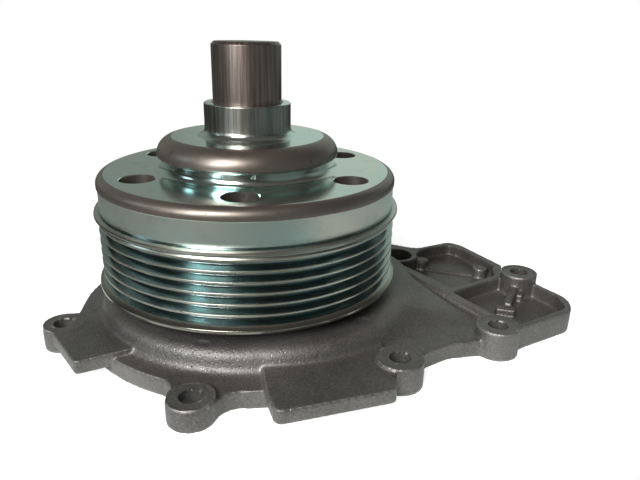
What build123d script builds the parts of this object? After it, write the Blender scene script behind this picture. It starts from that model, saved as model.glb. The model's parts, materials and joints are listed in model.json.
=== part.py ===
from build123d import *
import os
from math import atan2, cos, degrees, hypot, radians, sin

# Engine water pump: a die-cast housing carrying a pulley on a sealed ball-and-roller spindle.
# Millimetres. The pump axis is Z, z = 0 is the gasket face, and +Z points to the fan journal.

# ---- driving dimensions ----
RIB_PITCH = 3.56            # belt rib pitch of a PK section pulley
RIB_COUNT = 6
CREST_R = 53.1              # radius of the belt groove crests
GROOVE_DEPTH = 2.9
CREST_HALF = 0.3            # half width of a crest's flat
TOP_CREST_Z = 42.0
LIP_R = 54.4                # belt guide lip above the grooves
FOOT_R = 54.5               # belt guide lip below the grooves
PULLEY_BOTTOM_Z = 18.5
RIM_R = 52.7                # forged rim above the machined band
BAND_R = 52.36
BAND_Z = (45.4, 53.5)
DISC_Z = 57.6               # machined face of the pulley disc
DISC_T = 6.6
CUP_R = 46.5                # inside of the pulley rim
DOME_R = 32.0
DOME_Z = 69.1
DOME_LIP_Z = 62.2
NECK_R = 30.6
BELL_R = 26.9               # inside of the dome
COLLAR_R = 15.12
COLLAR_Z = 80.4
PULLEY_HOLES = 6
PULLEY_HOLE_R = 5.8
PULLEY_HOLE_CIRCLE_R = 40.5
PULLEY_HOLE_PHASE = -94.0

JOURNAL_R = 11.906          # fan clutch journal, 15/16 inch
JOURNAL_TOP_Z = 100.4
SEAT_R = 12.5               # press seat of the pulley, as long as its collar and hub
SEAT_FOOT_Z = 58.6
SPINDLE_R = 11.0            # raceway length of the spindle
SPINDLE_FOOT_Z = 21.6
STUB_R = 8.0                # seal and impeller length of the spindle
STUB_FOOT_Z = 1.8

BEARING_R = 21.0
BEARING_Z = (22.0, 57.0)
BEARING_BORE_R = 17.0
RING_CHAMFER = 0.6
PITCH_R = 14.0              # pitch radius of both rows
BALL_R = 4.0
BALL_COUNT = 8
BALL_Z = 47.0
RACE_CLEARANCE = 0.08
ROLLER_R = 2.93
ROLLER_LENGTH = 11.0
ROLLER_COUNT = 10
ROLLER_Z = 32.5
ROLLER_CHAMFER = 0.4
CAGE_CLEARANCE = 0.3
SEAL_HEIGHT = 2.4
SEAL_SKIN = 0.7             # thickness of a bearing seal's lip
SLEEVE_R = 13.4             # outside of the sleeve that the lip hangs from
FRONT_SEAL_Z = 54.4
REAR_SEAL_Z = 22.1
SHAFT_CLEARANCE = 0.06

FLANGE_T = 6.0
PLATE_R = 64.0
PLATE_X, PLATE_Y = 1.0, -0.6
TRIMMED_R = 62.0            # plate edge between the left pad and the front bolt
TRIMMED_ARC = (212.0, 254.6)
LOBE_BLEND_R = 7.0
BOSS_INSET = 0.15            # the boss stands this much inside its lobe
TRAY_TOP_Z = 9.0
TRAY_FLOOR_Z = 3.2
TRAY_WALL = 2.8
FLOOR_STEP = 0.9            # rise of the rear pocket's inner floor
POSTS = [(76.8, 27.4), (99.8, 16.2)]    # ejector posts
POST_R = 3.1
POST_TOP_Z = 7.7
STRUT_T = 2.6
CROSS_BAR = ((92.8, -18.5), (99.4, -21.1))      # the bar at the free end of the strut
CROSS_BAR_T = 3.8
CROSS_BAR_TOP_Z = 6.4
STRUT_FOOT = ((103.0, -5.6), (108.0, -8.8))     # the block where the strut meets the boss
PAD_Z = (3.2, 8.0)          # overhanging rest pads
BOLT_R = 3.5
CROWN_R = 52.6              # shoulder of the volute crown
CROWN_Z = 13.3
CROWN_TOP_Z = 16.6
NECK_TOP_Z = 57.6
HOUSING_NECK_R = 25.6
CHAMBER_Z = 9.8             # ceiling of the impeller chamber
CHAMBER_R = 48.0
CHAMBER_X, CHAMBER_Y = 0.8, -0.6
CHANNEL_Z = 3.9             # ceiling of the outlet passage
WEEP_R = 0.6
WEEP_Z = 21.3
WEEP_ANGLE = -60.0
SEAL_BORE_R = 17.6
SEAL_BORE_Z = 20.6
WEB_R = 16.0
GASKET_GAP = 4.4            # chamber edge to the gasket groove
GASKET_WIDTH = 2.4
GASKET_T = 2.0

IMPELLER_R = 31.0
VANE_COUNT = 7
VANE_T = 2.2
VANE_BEND_R = 22.5
INSERT_R = 10.5

# bolt bosses: name, x, y, boss radius, top height
BOSSES = [
    ("left", -64.5, -21.5, 6.9, 8.0),
    ("front", -17.8, -66.8, 7.3, 7.0),
    ("right_front", 45.6, -55.2, 7.7, 9.0),
    ("outlet", 84.3, -39.2, 7.6, 10.0),
    ("corner", 109.8, 0.4, 7.3, 12.0),
    ("rear", 9.6, 68.3, 7.3, 7.0),
    ("rear_left", -52.9, 44.3, 7.3, 7.0),
]
BLENDED_LOBES = ("left", "front", "rear", "rear_left")
RECESS_X, RECESS_Y = 65.6, 29.2    # sunk bolt seat beside the tray
RECESS_R = 8.9
RECESS_WELL_R = 6.4
RECESS_SEAT_Z = 3.6

UP = (Align.CENTER, Align.CENTER, Align.MIN)


def disc(radius, bottom, top, x=0.0, y=0.0):
    """A plain cylinder between two heights."""
    return Pos(x, y, bottom) * Cylinder(radius, top - bottom, align=UP)


def outline(corners):
    """A closed flat face. Each corner is (x, y) or (x, y, radius) for a rounded one."""
    face = make_face(Polyline([corner[:2] for corner in corners], close=True)).face()
    for corner in corners:
        if len(corner) == 3:
            x, y, radius = corner
            vertex = face.vertices().sort_by_distance((x, y, 0))[0]
            face = face.fillet_2d(radius, [vertex])
    return face


def turned(corners, x=0.0, y=0.0):
    """A ring or disc turned about a vertical axis from (radius, height) corners."""
    return Pos(x, y, 0) * revolve(Plane.XZ * outline(corners), Axis.Z)


def upright(face):
    """The same face, turned over if it faces down."""
    return -face if face.normal_at().Z < 0 else face


def plate(corners, bottom, top):
    """A flat plate of the given outline between two heights."""
    return Pos(0, 0, bottom) * extrude(upright(outline(corners)), top - bottom)


def wall(start, end, thickness, bottom, top):
    """A straight upright rib between two points."""
    length = hypot(end[0] - start[0], end[1] - start[1])
    angle = degrees(atan2(end[1] - start[1], end[0] - start[0]))
    middle = ((start[0] + end[0]) / 2, (start[1] + end[1]) / 2)
    slab = Box(length, thickness, top - bottom, align=UP)
    return Pos(middle[0], middle[1], bottom) * Rot(0, 0, angle) * slab


def around(count, radius, phase=0.0):
    """Evenly spaced points on a circle."""
    step = 360.0 / count
    angles = [radians(phase + step * i) for i in range(count)]
    return [(radius * cos(a), radius * sin(a)) for a in angles]


# ---- housing ----
TRAY_OUTLINE = [
    (30, -52), (50, -55), (56.4, -48.3, 3), (66, -43.4, 12), (76, -42.6, 8), (86, -43.5),
    (95, -38.6, 4), (117.6, -28.8, 8), (121.2, -19.5, 11), (112, 2), (104.5, 7),
    (108.9, 14.5, 2), (99.6, 40, 6), (95.2, 45, 4), (76.5, 37.6, 7), (66, 44.5, 12), (30, 62),
]
DIVIDER = ((60.6, 19.6), (87.2, -30.4))
POCKETS = [
    [(76.6, 33.2, 2), (79.6, 36.1, 3), (93.6, 40.9, 3), (98.2, 35.5, 4), (105.4, 14.8, 1.5),
     (103.2, 11.5, 1.5), (101.6, 4.4, 1.5), (79.2, -6.6, 1), (63.7, 22.4, 1), (70.5, 22.6, 2)],
    [(78.2, -10.0, 0.8), (103.4, 2.0), (109.8, 0.4), (113.4, -5.6, 1), (118.0, -16.5, 6),
     (116.6, -26.6, 5), (94.9, -36.9, 0.8), (84.3, -39.2), (87.6, -30.6)],
]


def trimmed_edge():
    """The sliver that the plate lacks between the left pad and the front bolt."""
    reach = 2 * PLATE_R
    sides = [(reach * cos(radians(a)), reach * sin(radians(a))) for a in TRIMMED_ARC]
    sector = upright(outline([(0, 0)] + sides))
    return Pos(PLATE_X, PLATE_Y) * (sector - Circle(TRIMMED_R))


def flange():
    """The base plate: round around the volute, with bolt lobes, drawn out under the tray."""
    shape = Pos(PLATE_X, PLATE_Y) * Circle(PLATE_R) - trimmed_edge()
    shape += upright(outline(TRAY_OUTLINE))
    for _, x, y, radius, _ in BOSSES:
        shape += Pos(x, y) * Circle(radius)
    face = shape.face()
    for name, x, y, radius, _ in BOSSES:
        if name in BLENDED_LOBES:
            corners = [v for v in face.vertices() if abs(hypot(v.X - x, v.Y - y) - radius) < 0.02]
            face = face.fillet_2d(LOBE_BLEND_R, corners)
    return extrude(face, FLANGE_T)


def crown(radius, x=0.0, y=0.0):
    """The raised volute shell: a fillet off the plate, a rounded shoulder and a gentle rise."""
    corners = [
        (0, FLANGE_T - 1), (radius + 7, FLANGE_T - 1), (radius + 7, FLANGE_T),
        (radius + 3.2, FLANGE_T, 3.0), (radius + 1.2, CROWN_Z - 0.4, 4.5),
        (radius - 9, CROWN_Z + 0.9, 20), (28, CROWN_TOP_Z), (0, CROWN_TOP_Z),
    ]
    return turned(corners, x, y)


def outlet_swell():
    """The sloping back of the outlet passage, between the crown and the tray."""
    slope = turned([(0, FLANGE_T - 1), (84, FLANGE_T - 1), (84, FLANGE_T + 0.2),
                    (70, FLANGE_T + 3.0, 30), (54, CROWN_Z - 0.6, 20), (0, CROWN_Z - 0.6)])
    reach = [(20, -50), (40, -41), (57, -29.5, 14), (85, -26.5), (60, 21), (30, 40)]
    return slope & plate(reach, 0, CROWN_TOP_Z)


def pads():
    """Two flat rest pads that overhang the plate."""
    left = [(-70.4, -22.0, 2), (-54.4, -47.6, 1.6), (-35, -39.4), (-25, -20), (-52, -6),
            (-62, -14.6, 5)]
    right = [(2.2, -50), (3.4, -68, 20), (5.4, -77.6, 2.5), (41.0, -70.4, 2), (43, -60), (42, -40)]
    return plate(left, *PAD_Z) + plate(right, *PAD_Z)


def tray():
    """The ribbed tray: walls and a thin floor, with the pockets cut by tray_pockets."""
    body = plate(TRAY_OUTLINE, 0, TRAY_TOP_Z)
    keep = plate([DIVIDER[0], DIVIDER[1], (90, -60), (140, -60), (140, 60), (60, 60)], 0, TRAY_TOP_Z)
    body = body & keep
    return body + wall(*DIVIDER, TRAY_WALL, 0, TRAY_TOP_Z)


def tray_pockets():
    """The two sunk pockets of the tray."""
    cut = Part()
    for pocket in POCKETS:
        cut += plate(pocket, TRAY_FLOOR_Z, TRAY_TOP_Z + 1)
    return cut


def tray_details():
    """Ejector posts, the stepped floor and the blocks under the corner boss's strut."""
    body = plate([(78, 24.6), (98, 15.8), (105, 14.6), (98, 37), (93, 41), (80, 36)],
                 TRAY_FLOOR_Z - 1, TRAY_FLOOR_Z + FLOOR_STEP)
    for x, y in POSTS:
        body += disc(POST_R, TRAY_FLOOR_Z, POST_TOP_Z, x, y)
    body += wall((107.6, -2.2), (97.2, -18.6), STRUT_T, TRAY_FLOOR_Z, POST_TOP_Z)
    body += wall(*CROSS_BAR, CROSS_BAR_T, TRAY_FLOOR_Z, CROSS_BAR_TOP_Z)
    return body + wall(*STRUT_FOOT, CROSS_BAR_T, TRAY_FLOOR_Z, CROSS_BAR_TOP_Z)


def neck():
    """The bearing neck that stands up inside the pulley."""
    return turned([(0, FLANGE_T), (0, NECK_TOP_Z), (HOUSING_NECK_R, NECK_TOP_Z, 0.8),
                   (HOUSING_NECK_R + 1.4, CROWN_TOP_Z + 0.2, 7), (40, CROWN_TOP_Z - 1.6),
                   (40, FLANGE_T)])


def chamber_outline():
    """The impeller chamber and its outlet passage, seen from the gasket face."""
    passage = outline([(18, -44), (42, -30, 12), (74, -24.5, 6), (58.5, 5.5, 6), (46, 14, 12), (10, 20)])
    return Pos(CHAMBER_X, CHAMBER_Y) * Circle(CHAMBER_R) + passage


def chamber():
    """The space that the impeller turns in, and the passage that leads out of it."""
    ceiling = disc(CHAMBER_R, -1, CHAMBER_Z, CHAMBER_X, CHAMBER_Y)
    passage = Pos(0, 0, -1) * extrude(chamber_outline(), CHANNEL_Z + 1)
    return ceiling + passage


def gasket_path():
    """The band that the gasket lies in, a fixed distance outside the chamber."""
    outer = offset(chamber_outline(), GASKET_GAP + GASKET_WIDTH)
    return outer - offset(chamber_outline(), GASKET_GAP)


def bores():
    """The stepped bore of the neck and the weep hole of its drain space."""
    over = NECK_TOP_Z + 1
    stepped = turned([(0, 0), (SEAL_BORE_R, 0), (SEAL_BORE_R, SEAL_BORE_Z), (WEB_R, SEAL_BORE_Z),
                      (WEB_R, BEARING_Z[0]), (BEARING_R, BEARING_Z[0]), (BEARING_R, over), (0, over)])
    weep = Rot(0, 0, WEEP_ANGLE) * Rot(0, 90, 0) * Cylinder(WEEP_R, PITCH_R * 3, align=UP)
    return stepped + Pos(0, 0, WEEP_Z) * weep


def housing():
    """The die-cast pump housing."""
    body = flange() + tray()
    body += crown(CROWN_R) + crown(CROWN_R + 3.2, 7.4, 3.0)
    body += outlet_swell()
    body += pads()
    body -= tray_pockets()
    body += tray_details()
    for _, x, y, radius, top in BOSSES:
        body += disc(radius - BOSS_INSET, TRAY_FLOOR_Z - 1, top, x, y)
    body += disc(RECESS_R, 0, TRAY_TOP_Z + 0.6, RECESS_X, RECESS_Y)
    body += neck()
    body -= chamber()
    body -= bores()
    body -= extrude(gasket_path(), GASKET_T)
    for _, x, y, _, top in BOSSES:
        body -= disc(BOLT_R, -1, top + 10, x, y)
    body -= disc(RECESS_WELL_R, RECESS_SEAT_Z, 30, RECESS_X, RECESS_Y)
    body -= disc(BOLT_R, -1, 30, RECESS_X, RECESS_Y)
    return body


def flange_gasket():
    """The moulded gasket, flush in its groove."""
    return extrude(gasket_path(), GASKET_T)


# ---- pulley and spindle ----
def groove_corners():
    """The belt grooves from the top crest down to the bottom one."""
    root_half = RIB_PITCH / 2 - CREST_HALF - GROOVE_DEPTH * 0.364
    corners = []
    for i in range(RIB_COUNT):
        crest_z = TOP_CREST_Z - RIB_PITCH * i
        middle = crest_z - RIB_PITCH / 2
        corners += [
            (CREST_R, crest_z - CREST_HALF),
            (CREST_R - GROOVE_DEPTH, middle + root_half, 0.3),
            (CREST_R - GROOVE_DEPTH, middle - root_half, 0.3),
            (CREST_R, crest_z - RIB_PITCH + CREST_HALF),
        ]
    return corners


def pulley():
    """The forged and turned belt pulley: collar, dome, drilled disc and ribbed rim."""
    bottom_crest_z = TOP_CREST_Z - RIB_PITCH * RIB_COUNT
    corners = [
        (SEAT_R, COLLAR_Z), (COLLAR_R, COLLAR_Z, 0.5), (COLLAR_R, DOME_Z, 3.0),
        (DOME_R, DOME_Z, 6.0), (DOME_R, DOME_LIP_Z + 0.6), (DOME_R - 0.5, DOME_LIP_Z),
        (NECK_R, DOME_LIP_Z - 0.5), (NECK_R, DISC_Z, 2.8),
        (RIM_R, DISC_Z, 3.1), (RIM_R, BAND_Z[1]), (BAND_R, BAND_Z[1]),
        (BAND_R, BAND_Z[0] + 0.4), (BAND_R - 0.5, BAND_Z[0] + 0.2), (BAND_R - 0.5, BAND_Z[0] - 0.1),
        (LIP_R - 0.2, BAND_Z[0] - 0.1, 0.3), (LIP_R, BAND_Z[0] - 1.2, 0.3),
        (CREST_R - 0.6, TOP_CREST_Z + 1.1, 0.3), (CREST_R, TOP_CREST_Z + CREST_HALF),
    ]
    corners += groove_corners()
    corners += [
        (FOOT_R, bottom_crest_z - 0.7, 0.3), (FOOT_R, PULLEY_BOTTOM_Z + 0.5, 0.3),
        (FOOT_R - 0.6, PULLEY_BOTTOM_Z), (CUP_R, PULLEY_BOTTOM_Z, 1.0),
        (CUP_R, DISC_Z - DISC_T, 5.0), (BELL_R, DISC_Z - DISC_T, 2.0),
        (BELL_R, DOME_Z - DISC_T, 4.0), (COLLAR_R + 2, DOME_Z - DISC_T, 1.5),
        (COLLAR_R + 1.6, SEAT_FOOT_Z + 2.2), (SEAT_R, SEAT_FOOT_Z + 2.2),
    ]
    body = turned(corners)
    for x, y in around(PULLEY_HOLES, PULLEY_HOLE_CIRCLE_R, PULLEY_HOLE_PHASE):
        body -= disc(PULLEY_HOLE_R, DISC_Z - DISC_T - 6, DISC_Z + 1, x, y)
    return body


def bearing_shaft():
    """The spindle: fan journal, pulley seat, raceways and the stub for the seal and impeller."""
    body = turned([(0, STUB_FOOT_Z), (STUB_R - 0.6, STUB_FOOT_Z), (STUB_R, STUB_FOOT_Z + 0.6),
                   (STUB_R, SPINDLE_FOOT_Z), (SPINDLE_R, SPINDLE_FOOT_Z), (SPINDLE_R, SEAT_FOOT_Z),
                   (SEAT_R, SEAT_FOOT_Z), (SEAT_R, COLLAR_Z),
                   (JOURNAL_R, COLLAR_Z), (JOURNAL_R, JOURNAL_TOP_Z - 0.9, 0.3),
                   (JOURNAL_R - 0.9, JOURNAL_TOP_Z, 0.3), (0, JOURNAL_TOP_Z)])
    body -= ball_track()
    body -= Pos(0, 0, JOURNAL_TOP_Z - 3.5) * Cone(0.0, 3.5, 3.5, align=UP)
    return body


def ball_track():
    """The round groove that the ball row runs in."""
    return Pos(0, 0, BALL_Z) * Torus(PITCH_R, BALL_R + RACE_CLEARANCE)


# ---- bearing ----
def bearing_outer_ring():
    """The long outer ring that both rows share."""
    body = disc(BEARING_R, *BEARING_Z) - disc(BEARING_BORE_R, BEARING_Z[0] - 1, BEARING_Z[1] + 1)
    body = body - ball_track()
    edges = body.edges().filter_by(GeomType.CIRCLE)
    return chamfer([e for e in edges if abs(e.radius - BEARING_R) < 0.01], RING_CHAMFER)


def bearing_balls():
    """The ball row."""
    balls = [Pos(x, y, BALL_Z) * Sphere(BALL_R) for x, y in around(BALL_COUNT, PITCH_R)]
    return Compound(children=balls)


def ball_cage():
    """The ball row's pocketed ring."""
    half = BALL_R + 0.9
    body = disc(PITCH_R + 1.4, BALL_Z - half, BALL_Z + half)
    body -= disc(PITCH_R - 1.4, BALL_Z - half - 1, BALL_Z + half + 1)
    pocket = Rot(0, 90, 0) * Cylinder(BALL_R + CAGE_CLEARANCE, BEARING_R, align=UP)
    for i in range(BALL_COUNT):
        body -= Pos(0, 0, BALL_Z) * Rot(0, 0, 360.0 / BALL_COUNT * i) * pocket
    return body


def roller_stack(radius, length):
    """Cylinders at the roller places, used for the rollers and for their cage pockets."""
    half = length / 2
    return [disc(radius, ROLLER_Z - half, ROLLER_Z + half, x, y)
            for x, y in around(ROLLER_COUNT, PITCH_R)]


def bearing_rollers():
    """The roller row, each roller with chamfered ends."""
    rollers = []
    for roller in roller_stack(ROLLER_R, ROLLER_LENGTH):
        rollers.append(chamfer(roller.edges().filter_by(GeomType.CIRCLE), ROLLER_CHAMFER))
    return Compound(children=rollers)


def roller_cage():
    """The roller row's windowed ring."""
    half = ROLLER_LENGTH / 2 + 1.6
    body = disc(PITCH_R + 1.1, ROLLER_Z - half, ROLLER_Z + half)
    body -= disc(PITCH_R - 1.1, ROLLER_Z - half - 1, ROLLER_Z + half + 1)
    for pocket in roller_stack(ROLLER_R + CAGE_CLEARANCE, ROLLER_LENGTH + 2 * CAGE_CLEARANCE):
        body -= pocket
    return body


def bearing_seal(bottom, lip_up):
    """A lip seal pressed into the end of the outer ring. lip_up turns its lip outwards."""
    top = bottom + SEAL_HEIGHT
    lip_z = top - SEAL_SKIN if lip_up else bottom
    case = disc(BEARING_BORE_R, bottom, top) - disc(BEARING_BORE_R - 1.2, bottom - 1, top + 1)
    web = disc(BEARING_BORE_R - 1, bottom + 0.8, top - 0.8) - disc(SLEEVE_R - 0.4, bottom, top)
    lip = disc(SLEEVE_R, lip_z, lip_z + SEAL_SKIN)
    lip -= disc(SPINDLE_R + SHAFT_CLEARANCE, bottom, top)
    sleeve = disc(SLEEVE_R, bottom, top) - disc(SLEEVE_R - 0.8, bottom - 1, top + 1)
    return case + web + lip + sleeve


# ---- seal and impeller ----
def slinger():
    """The pressed steel deflector between the face seal and the bearing."""
    return turned([(STUB_R, 20.7), (9.6, 20.7), (13.4, 21.0), (13.4, 21.6), (9.4, 21.3),
                   (STUB_R, 21.3)])


def seal_cup():
    """The drawn cup of the face seal, pressed into the housing."""
    return turned([(SEAL_BORE_R, 10.8), (SEAL_BORE_R, 20.2, 1.0), (9.4, 20.2), (9.4, 19.4),
                   (SEAL_BORE_R - 0.8, 19.4, 0.4), (SEAL_BORE_R - 0.8, 10.8)])


def seal_bellows():
    """The rubber bellows: a flange under the cup, a tube and a nose behind the carbon ring."""
    return turned([(9.4, 19.4), (16.2, 19.4), (16.2, 18.2), (10.6, 18.2, 0.8), (10.6, 13.4),
                   (12.4, 13.4), (12.4, 12.8), (9.4, 12.8)])


def seal_spring():
    """The coil spring that presses the carbon ring down."""
    path = Edge.make_helix(pitch=1.5, height=2.9, radius=14.4, center=(0, 0, 14.65))
    wire = Plane(origin=path @ 0, z_dir=path % 0) * Circle(0.6)
    return sweep(wire, path=path)


def seal_spring_cup():
    """The pressed seat between the spring and the bellows' nose."""
    return turned([(10.8, 13.4), (16.4, 13.4, 0.5), (16.4, 15.6), (15.8, 15.6),
                   (15.8, 14.0), (10.8, 14.0)])


def seal_carbon_ring():
    """The carbon face ring with its raised running face."""
    return turned([(9.4, 12.8), (12.4, 12.8), (12.4, 11.3), (11.6, 11.3), (11.6, 10.7), (9.9, 10.7),
                   (9.9, 11.3), (9.4, 11.3)])


def seal_seat_ring():
    """The hard seat ring that turns with the spindle."""
    return turned([(9.2, 8.6), (13.0, 8.6), (13.0, 10.65), (9.2, 10.65)])


def seal_seat_boot():
    """The rubber boot that grips the seat ring on the spindle."""
    return turned([(STUB_R, 7.8), (13.0, 7.8), (13.0, 8.6), (9.2, 8.6), (9.2, 10.4), (STUB_R, 10.4)])


def impeller_insert():
    """The steel bush that the impeller is moulded round."""
    return turned([(STUB_R, 1.8), (INSERT_R, 1.8), (INSERT_R, 3.8), (INSERT_R - 0.8, 4.3),
                   (INSERT_R - 0.8, 5.3), (INSERT_R, 5.8), (INSERT_R, 7.8), (STUB_R, 7.8)])


def vane(angle):
    """One swept-back vane, curved from the hub out to the rim."""
    bend = Pos(7.0, -22.0) * (Circle(VANE_BEND_R + VANE_T / 2) - Circle(VANE_BEND_R - VANE_T / 2))
    sweep_range = (Circle(IMPELLER_R - 1) - Circle(12.5)) & (Pos(20, -8) * Rectangle(30, 30))
    return Rot(0, 0, angle) * Pos(0, 0, 1.2) * extrude(bend & sweep_range, 5.4)


def impeller():
    """The moulded impeller: a back plate, a hub and curved vanes that face the gasket plane."""
    body = turned([(INSERT_R, 1.8), (13.6, 1.8), (13.6, 6.2), (IMPELLER_R, 6.8), (IMPELLER_R, 8.3),
                   (14.6, 8.3), (14.6, 7.8), (INSERT_R, 7.8), (INSERT_R, 5.8),
                   (INSERT_R - 0.8, 5.3), (INSERT_R - 0.8, 4.3), (INSERT_R, 3.8)])
    for i in range(VANE_COUNT):
        body += vane(360.0 / VANE_COUNT * i)
    return body


PARTS = {
    "housing": housing,
    "flange_gasket": flange_gasket,
    "pulley": pulley,
    "bearing_shaft": bearing_shaft,
    "bearing_outer_ring": bearing_outer_ring,
    "bearing_balls": bearing_balls,
    "ball_cage": ball_cage,
    "bearing_rollers": bearing_rollers,
    "roller_cage": roller_cage,
    "bearing_seal_front": lambda: bearing_seal(FRONT_SEAL_Z, True),
    "bearing_seal_rear": lambda: bearing_seal(REAR_SEAL_Z, False),
    "slinger": slinger,
    "seal_cup": seal_cup,
    "seal_bellows": seal_bellows,
    "seal_spring": seal_spring,
    "seal_spring_cup": seal_spring_cup,
    "seal_carbon_ring": seal_carbon_ring,
    "seal_seat_ring": seal_seat_ring,
    "seal_seat_boot": seal_seat_boot,
    "impeller": impeller,
    "impeller_insert": impeller_insert,
}

os.makedirs("parts", exist_ok=True)
for node, build in PARTS.items():
    export_step(build(), f"parts/{node}.step")
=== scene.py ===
import json
from math import cos, hypot, pi, radians, sin, tan

import bpy
import bmesh
import numpy as np
from mathutils import Matrix, Vector


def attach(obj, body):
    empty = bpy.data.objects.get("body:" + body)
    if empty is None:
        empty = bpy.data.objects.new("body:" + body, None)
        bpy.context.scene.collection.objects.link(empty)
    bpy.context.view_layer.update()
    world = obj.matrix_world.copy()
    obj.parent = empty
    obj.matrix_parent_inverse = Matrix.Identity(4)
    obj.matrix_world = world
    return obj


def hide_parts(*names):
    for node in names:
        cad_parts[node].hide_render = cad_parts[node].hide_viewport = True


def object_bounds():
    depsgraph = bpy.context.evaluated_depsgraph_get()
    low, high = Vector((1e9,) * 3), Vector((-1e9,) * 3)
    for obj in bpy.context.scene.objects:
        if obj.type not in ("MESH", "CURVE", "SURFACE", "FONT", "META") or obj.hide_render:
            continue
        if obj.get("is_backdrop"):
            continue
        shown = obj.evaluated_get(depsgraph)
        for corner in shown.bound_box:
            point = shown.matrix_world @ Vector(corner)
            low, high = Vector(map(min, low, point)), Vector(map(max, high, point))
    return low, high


bl_info = {
    "name": "Water pump looks",
    "version": (1, 0, 0),
    "blender": (4, 5, 0),
    "location": "3D View > Sidebar > Water pump",
    "description": "Dresses the packed water pump: casting skin, turned pulley, finishes and studio",
    "category": "Object",
}

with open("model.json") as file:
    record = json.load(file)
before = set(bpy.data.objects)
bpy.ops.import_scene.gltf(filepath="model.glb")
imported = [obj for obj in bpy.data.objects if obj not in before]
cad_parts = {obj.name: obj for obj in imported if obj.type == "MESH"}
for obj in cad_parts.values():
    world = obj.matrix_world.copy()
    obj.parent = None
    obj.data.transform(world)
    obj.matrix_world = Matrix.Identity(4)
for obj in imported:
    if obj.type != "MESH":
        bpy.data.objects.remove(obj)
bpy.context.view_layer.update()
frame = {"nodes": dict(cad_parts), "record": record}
NODES = frame["nodes"]
MOUNTS = {mount["name"]: mount for mount in frame["record"]["mounts"]}
MM = 0.001
SEAT_RADIUS = 6.3 * MM
BEARING_BORE = 21.0 * MM


def bolt_seats():
    """Centre, top height and hole radius of each machined bolt seat, from the pump's mounts."""
    seats = []
    for mount in MOUNTS.values():
        if mount["kind"] == "bore":
            x, y, z = mount["pos_m"]
            top = z + mount["dims"]["length_mm"] * MM / 2
            seats.append((x, y, top, mount["dims"]["r_mm"] * MM))
    return seats


# ---------------------------------------------------------------- shader maths
class Value:
    """A socket that can be used in Python expressions; each operation adds a Math node."""

    def __init__(self, shader, socket):
        self.shader = shader
        self.socket = socket

    def math(self, operation, *others):
        inputs = {i: other for i, other in enumerate((self, *others))}
        return self.shader.node("ShaderNodeMath", {"operation": operation}, inputs)

    def __add__(self, other):
        return self.math("ADD", other)

    __radd__ = __add__

    def __mul__(self, other):
        return self.math("MULTIPLY", other)

    __rmul__ = __mul__

    def __sub__(self, other):
        return self.math("SUBTRACT", other)

    def __rsub__(self, other):
        return self.shader.node("ShaderNodeMath", {"operation": "SUBTRACT"}, {0: other, 1: self})

    def __truediv__(self, other):
        return self.math("DIVIDE", other)

    def at_least(self, other):
        return self.math("MAXIMUM", other)

    def at_most(self, other):
        return self.math("MINIMUM", other)

    def sine(self):
        return self.math("SINE")

    def step(self, low, high):
        """0 below low, 1 above high, smooth between; low may be the larger."""
        inputs = {"Value": self, "From Min": low, "From Max": high}
        return self.shader.node("ShaderNodeMapRange", {"interpolation_type": "SMOOTHSTEP"}, inputs)


class Nodes:
    """A node tree under construction."""

    def __init__(self, tree, surface):
        self.tree = tree
        self.surface = tree.nodes[surface]

    def node(self, kind, settings=None, inputs=None, output=0):
        """Adds a node: its settings first, then the values or links of its sockets."""
        made = self.tree.nodes.new(kind)
        for name, value in (settings or {}).items():
            setattr(made, name, value)
        for name, value in (inputs or {}).items():
            if isinstance(value, Value):
                self.tree.links.new(value.socket, made.inputs[name])
            else:
                made.inputs[name].default_value = value
        return Value(self, made.outputs[output])

    def place(self):
        """The point on the piece, in metres in the pump's own frame."""
        return self.node("ShaderNodeTexCoord", output=3)

    def along(self, distance):
        """A vector that changes with one distance only, so that noise on it makes straight lines."""
        return self.node("ShaderNodeCombineXYZ", None, {0: distance})

    def parts(self, vector):
        """The x, y and z of a vector."""
        return [self.node("ShaderNodeSeparateXYZ", None, {0: vector}, axis) for axis in range(3)]

    def noise(self, vector, scale, detail=3.0, roughness=0.5):
        """Soft noise from 0 to 1; scale is in features a metre."""
        inputs = {"Vector": vector, "Scale": scale, "Detail": detail, "Roughness": roughness}
        return self.node("ShaderNodeTexNoise", None, inputs)

    def cells(self, vector, scale):
        """Distance to the nearest of scattered points, for pits and grit."""
        return self.node("ShaderNodeTexVoronoi", None, {"Vector": vector, "Scale": scale})

    def stretch(self, vector, scale):
        """A vector with each of its parts multiplied."""
        return self.node("ShaderNodeVectorMath", {"operation": "MULTIPLY"}, {0: vector, 1: scale})

    def mix(self, factor, first, second):
        """A colour between two colours."""
        return self.node("ShaderNodeMix", {"data_type": "RGBA"}, {0: factor, 6: first, 7: second}, output=2)

    def bump(self, height, distance, strength, under=None):
        """A normal bent by a height from 0 to 1 that stands for a distance in metres."""
        inputs = {"Height": height, "Distance": distance, "Strength": strength}
        if under is not None:
            inputs["Normal"] = under
        return self.node("ShaderNodeBump", None, inputs)

    def camera_ray(self):
        """1 where the camera looks straight at the surface, 0 in reflections and bounced light."""
        return self.node("ShaderNodeLightPath")

    def feed(self, **links):
        """Joins values to the sockets of the tree's own shader."""
        for socket, value in links.items():
            self.tree.links.new(value.socket, self.surface.inputs[socket.replace("_", " ")])


class Shader(Nodes):
    """A material under construction, with one Principled shader."""

    def __init__(self, name, **constants):
        self.material = bpy.data.materials.new(name)
        self.material.use_nodes = True
        super().__init__(self.material.node_tree, "Principled BSDF")
        for socket, value in constants.items():
            self.surface.inputs[socket.replace("_", " ")].default_value = value
        self.material.diffuse_color = constants["Base_Color"]

    def feed(self, **links):
        """Joins values to the Principled shader and returns the finished material."""
        super().feed(**links)
        return self.material


def rgb(colour, lift=1.0):
    """A colour with alpha, lightened or darkened."""
    return (colour[0] * lift, colour[1] * lift, colour[2] * lift, 1.0)


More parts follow.
